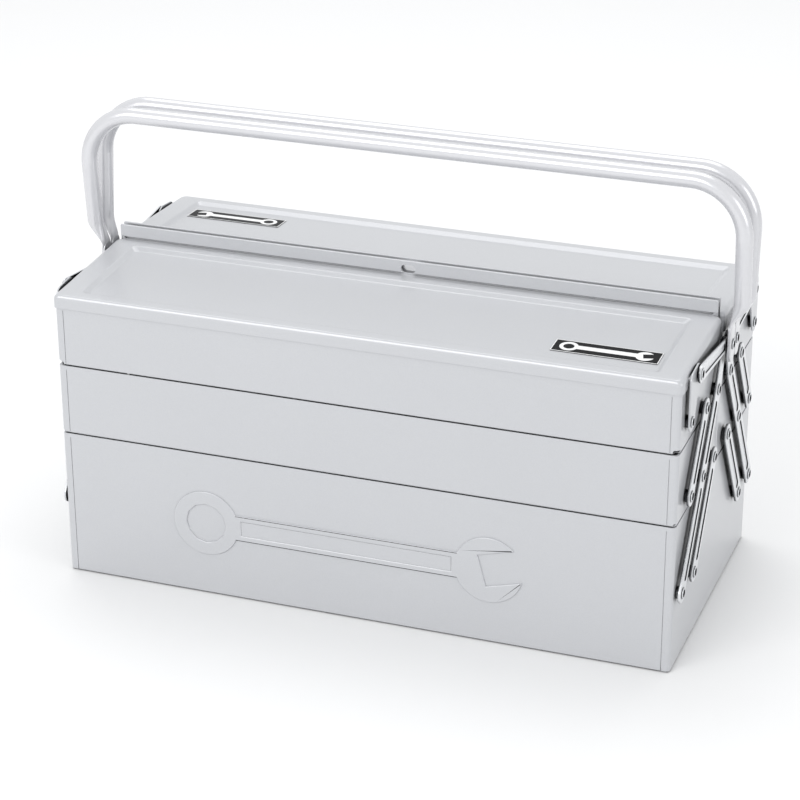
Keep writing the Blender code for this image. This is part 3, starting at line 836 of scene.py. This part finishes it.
TUBE_RADIUS = 0.00615
TUBE_SIDES = 32
HANDLE_HALF = 0.251
BEND_RADIUS = 0.040
BAR_DISTANCE = 0.0135
FOOT_DISTANCE = 0.0070
FOOT_TOP = 0.226
TUBE_START = 0.245
SPLAY_END = 0.293
FOOT_HALF_WIDTH = 0.0062
FOOT_OVERLAP = 0.003
FOOT_EDGE = 0.0006
FOOT_LAYER = (0.2424, 0.2452)
LID_LINK_LAYER = (0.2398, 0.2416)
FLATTENING_STEPS = 8
HANDLE_COLOUR = (0.60, 0.60, 0.62, 1.0)

handle_low, handle_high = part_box("front_handle")
handle_paint = enamel("handle_paint", HANDLE_COLOUR, roughness=0.24, metallic=0.40, coat=0.6)


def leg_y(height):
    splay = max(0.0, (height - FOOT_TOP) / (SPLAY_END - FOOT_TOP))
    return -(FOOT_DISTANCE + (BAR_DISTANCE - FOOT_DISTANCE) * splay)


def flatness(height):
    share = min(1.0, max(0.0, (TUBE_START - height) / (TUBE_START - FOOT_TOP)))
    return share * share * (3 - 2 * share)


def ring_at(height):
    """Middle X, middle Y, half thickness and half width of the leg at a height."""
    flat = flatness(height)
    foot_middle = sum(FOOT_LAYER) / 2
    foot_half = (FOOT_LAYER[1] - FOOT_LAYER[0]) / 2
    return (HANDLE_HALF + (foot_middle - HANDLE_HALF) * flat, leg_y(height),
            TUBE_RADIUS + (foot_half - TUBE_RADIUS) * flat,
            TUBE_RADIUS + (FOOT_HALF_WIDTH - TUBE_RADIUS) * flat)


bend_z = handle_high.z - TUBE_RADIUS - BEND_RADIUS
deselect()
bpy.ops.mesh.primitive_circle_add(vertices=TUBE_SIDES, radius=TUBE_RADIUS, fill_type="NOTHING",
                                  location=(HANDLE_HALF, -BAR_DISTANCE, SPLAY_END))
handle = settle("front_handle_bail")
edit(handle)
pick("EDGE", lambda edge: True)
extrude((0, 0, bend_z - SPLAY_END))
bpy.ops.mesh.spin(steps=14, angle=pi / 2, axis=(0, 1, 0),
                  center=(HANDLE_HALF - BEND_RADIUS, -BAR_DISTANCE, bend_z))
extrude((BEND_RADIUS - HANDLE_HALF, 0, 0))
pick("EDGE", at_height(SPLAY_END))
heights = [TUBE_START + (FOOT_TOP - TUBE_START) * step / FLATTENING_STEPS
           for step in range(FLATTENING_STEPS + 1)] + [FOOT_TOP - FOOT_OVERLAP]
before = (HANDLE_HALF, -BAR_DISTANCE, TUBE_RADIUS, TUBE_RADIUS)
level_before = SPLAY_END
for height in heights:
    ring = ring_at(height)
    extrude((ring[0] - before[0], ring[1] - before[1], height - level_before))
    resize((ring[2] / before[2], ring[3] / before[3], 1), (ring[0], ring[1], height))
    before = ring
    level_before = height
bpy.ops.mesh.edge_face_add()
done()
apply(handle, "MIRROR", use_axis=(True, False, False), merge_threshold=0.0001)
edit(handle)
turn_outwards()
done()
for end in (1, -1):
    end_layer = tuple(sorted(end * x for x in FOOT_LAYER))
    foot_end = Vector((0, -FOOT_DISTANCE, handle_low.z + FOOT_HALF_WIDTH))
    foot_start = Vector((0, -FOOT_DISTANCE, FOOT_TOP - FOOT_HALF_WIDTH / 2))
    foot = strip("foot", foot_end, foot_start, FOOT_HALF_WIDTH, FOOT_HALF_WIDTH, end_layer)
    ease_edges(foot, FOOT_EDGE)
    combine(handle, foot, "UNION")
    hole = rod("hole", (end * sum(FOOT_LAYER) / 2, crank.y, crank.z), ARM_HOLE, 0.01)
    combine(handle, hole, "DIFFERENCE")
rear_handle = mirrored(handle, "rear_handle_bail", (1, -1))
finish(handle, [handle_paint], "front_handle", "handle_paint", "front_handle", sharp=40)
finish(rear_handle, [handle_paint], "rear_handle", "handle_paint", "rear_handle", sharp=40)

lid_link = strip("lid_link", crank, link_pivot, CRANK_RADIUS, LINK_RADIUS, LID_LINK_LAYER)
ease_edges(lid_link, ARM_EDGE)
press_channel(lid_link, crank, link_pivot, LID_LINK_LAYER)
drill(lid_link, (crank, link_pivot), LID_LINK_LAYER)
four_corners(lid_link, "lid_lever", arm_paint, "handle", "arm_paint", "lid_link")


# ---------------------------------------------------------------- rivets
# Plated steel rivets at every pivot. The hollow outer end is rolled over to a flat head around a
# shallow hollow painted near-black as shade, a collar holds the lever off the sheet, and a flat
# head lies inside the box.

PIN_RADIUS = 0.0030
COLLAR_RADIUS = 0.0046
HEAD_RADIUS = 0.0040
INNER_HEAD_RADIUS = 0.0042
INNER_HEAD_THICKNESS = 0.0009
CRANK_HEAD_THICKNESS = 0.0005
LINK_PIN_RADIUS = 0.0033
CLEARANCE = 0.0003
HOLLOW_RADIUS = 0.00285
RIVET_COLOUR = (0.62, 0.63, 0.65, 1.0)
HOLLOW_SHADE_COLOUR = (0.015, 0.015, 0.016, 1.0)
HEAD_PROFILE = ((0.0, 1.0), (0.0003, 1.0), (0.0006, 0.95), (0.0008, 0.85), (0.0007, 0.70),
                (0.0004, 0.64), (-0.0010, 0.61))

# Its shade limits paint a grey painted shade on the collars between lever and sheet.
rivet_steel = enamel("rivet_steel", RIVET_COLOUR, roughness=0.26, metallic=0.60, coat=0.0,
                     shade=(0.80, 0.35))
rivet_hollow_shade = plain_gloss("rivet_hollow_shade", HOLLOW_SHADE_COLOUR, roughness=0.60, ripple=0.05)


def turned(name, profile, place):
    """Rivet along X, extruded ring by ring through (x, radius) stations, with its hollow painted
    near-black as shade.
    """
    deselect()
    bpy.ops.mesh.primitive_circle_add(vertices=28, radius=profile[0][1], fill_type="NGON",
                                      location=(profile[0][0], place.y, place.z),
                                      rotation=(0, pi / 2, 0))
    piece = settle(name)
    edit(piece)
    pick("FACE", lambda face: True)
    for (x, radius), (next_x, next_radius) in zip(profile, profile[1:]):
        extrude((next_x - x, 0, 0))
        scale = next_radius / radius
        resize((1, scale, scale), (next_x, place.y, place.z))
    turn_outwards()
    piece.data.materials.append(rivet_steel)
    piece.data.materials.append(rivet_hollow_shade)
    # The faces of the hollow get the near-black painted shade.
    pick("FACE", lambda face: all(hypot(vert.co.y - place.y, vert.co.z - place.z) < HOLLOW_RADIUS
                                  for vert in face.verts))
    piece.active_material_index = 1
    bpy.ops.object.material_slot_assign()
    done()
    return piece


def head_from(x):
    return [(x + rise, HEAD_RADIUS * share) for rise, share in HEAD_PROFILE]


def wall_rivet(place):
    inside = base_high.x - BASE_SHEET - CLEARANCE
    wall = base_high.x + CLEARANCE
    behind_arm = arm_layer[0] - CLEARANCE
    before_arm = arm_layer[1] + CLEARANCE
    stem = [(inside - INNER_HEAD_THICKNESS, INNER_HEAD_RADIUS * 0.8),
            (inside - INNER_HEAD_THICKNESS * 2 / 3, INNER_HEAD_RADIUS),
            (inside, INNER_HEAD_RADIUS), (inside, PIN_RADIUS), (wall, PIN_RADIUS),
            (wall, COLLAR_RADIUS), (behind_arm, COLLAR_RADIUS),
            (behind_arm, PIN_RADIUS), (before_arm, PIN_RADIUS)]
    return turned("rivet", stem + head_from(before_arm), place)


for rivet_name, rivet_place, rivet_body in (
        ("base_arm_rivet", base_long, "base"),
        ("base_link_rivet", base_short, "base"),
        ("middle_arm_rivet", middle_long, "middle_tray"),
        ("middle_lower_rivet", lower_top, "middle_tray"),
        ("middle_upper_rivet", upper_foot, "middle_tray"),
        ("top_arm_rivet", top_long, "top_tray"),
        ("top_link_rivet", upper_top, "top_tray")):
    four_corners(wall_rivet(rivet_place), rivet_name + "_turned", rivet_steel, rivet_body,
                 "rivet_steel", rivet_name)

behind_crank = arm_layer[0] - CLEARANCE
before_foot = FOOT_LAYER[1] + CLEARANCE
crank_stem = [(behind_crank - CRANK_HEAD_THICKNESS, INNER_HEAD_RADIUS),
              (behind_crank, INNER_HEAD_RADIUS),
              (behind_crank, PIN_RADIUS), (before_foot, PIN_RADIUS)]
four_corners(turned("crank_pin", crank_stem + head_from(before_foot), crank),
             "crank_pin_turned", rivet_steel, "handle", "rivet_steel", "crank_pin")
behind_ear = EAR_LAYER[0] - CLEARANCE
before_ear = EAR_LAYER[1] + CLEARANCE
ear_stem = [(base_high.x - LID_SHEET / 2, COLLAR_RADIUS), (behind_ear, COLLAR_RADIUS),
            (behind_ear, PIN_RADIUS), (before_ear, PIN_RADIUS)]
four_corners(turned("ear_rivet", ear_stem + head_from(before_ear), ear_pivot),
             "ear_rivet", rivet_steel, "top_tray", "rivet_steel")
link_stem = [(behind_ear, LINK_PIN_RADIUS), (LID_LINK_LAYER[1], LINK_PIN_RADIUS)]
four_corners(turned("lid_link_rivet", link_stem + head_from(LID_LINK_LAYER[1]), link_pivot),
             "lid_link_rivet", rivet_steel, "handle", "rivet_steel")


# ---------------------------------------------------------------- studio
# A white floor and a white sky, a broad light in front, soft ones above the back and at the right,
# and a long lens that looks down from the front right corner.

CAMERA_AIM = Vector((0.0, -0.0222, 0.1385))
CAMERA_DISTANCE = 1.918
CAMERA_AZIMUTH = radians(20.14)
CAMERA_ELEVATION = radians(24.31)
CAMERA_ROLL = radians(-0.25)
CAMERA_LENS = 116.1
FLOOR_WHITE = (0.80, 0.80, 0.80, 1.0)
SKY_WHITE = (0.98, 0.99, 1.0, 1.0)


def soft_light(name, place, aim, size, power):
    light = bpy.data.lights.new(name, "AREA")
    light.shape = "RECTANGLE"
    light.size = size[0]
    light.size_y = size[1]
    light.energy = power
    lamp = bpy.data.objects.new(name, light)
    bpy.context.scene.collection.objects.link(lamp)
    lamp.location = place
    lamp.rotation_euler = (Vector(aim) - Vector(place)).to_track_quat("-Z", "Y").to_euler()


deselect()
bpy.ops.mesh.primitive_plane_add(size=14, location=(0, 0, 0))
floor = settle("studio_floor")
floor_paint = bpy.data.materials.new("studio_floor_white")
floor_paint.use_nodes = True
floor_shader = floor_paint.node_tree.nodes["Principled BSDF"]
floor_shader.inputs["Base Color"].default_value = FLOOR_WHITE
floor_shader.inputs["Roughness"].default_value = 0.6
floor_shader.inputs["Specular IOR Level"].default_value = 0.2
floor.data.materials.append(floor_paint)

soft_light("light_above", (-0.3, 0.9, 2.2), (0, 0, 0.1), (2.0, 1.4), 17)
soft_light("light_front", (-0.9, -2.6, 1.7), (0, 0, 0.15), (2.4, 1.2), 42)
soft_light("light_right", (2.6, -0.8, 1.1), (0, 0, 0.15), (1.2, 1.6), 12)

world = bpy.data.worlds.new("studio")
world.use_nodes = True
background = world.node_tree.nodes["Background"]
background.inputs["Color"].default_value = SKY_WHITE
background.inputs["Strength"].default_value = 0.92
bpy.context.scene.world = world
bpy.context.scene.view_settings.view_transform = "Standard"

camera = bpy.data.objects.new("camera", bpy.data.cameras.new("camera"))
bpy.context.scene.collection.objects.link(camera)
camera.data.lens = CAMERA_LENS
camera.data.sensor_width = 36
back = Vector((sin(CAMERA_AZIMUTH) * cos(CAMERA_ELEVATION),
               -cos(CAMERA_AZIMUTH) * cos(CAMERA_ELEVATION), sin(CAMERA_ELEVATION)))
camera.location = CAMERA_AIM + back * CAMERA_DISTANCE
turned_view = back.to_track_quat("Z", "Y") @ Matrix.Rotation(CAMERA_ROLL, 4, "Z").to_quaternion()
camera.rotation_euler = turned_view.to_euler()
bpy.context.scene.camera = camera
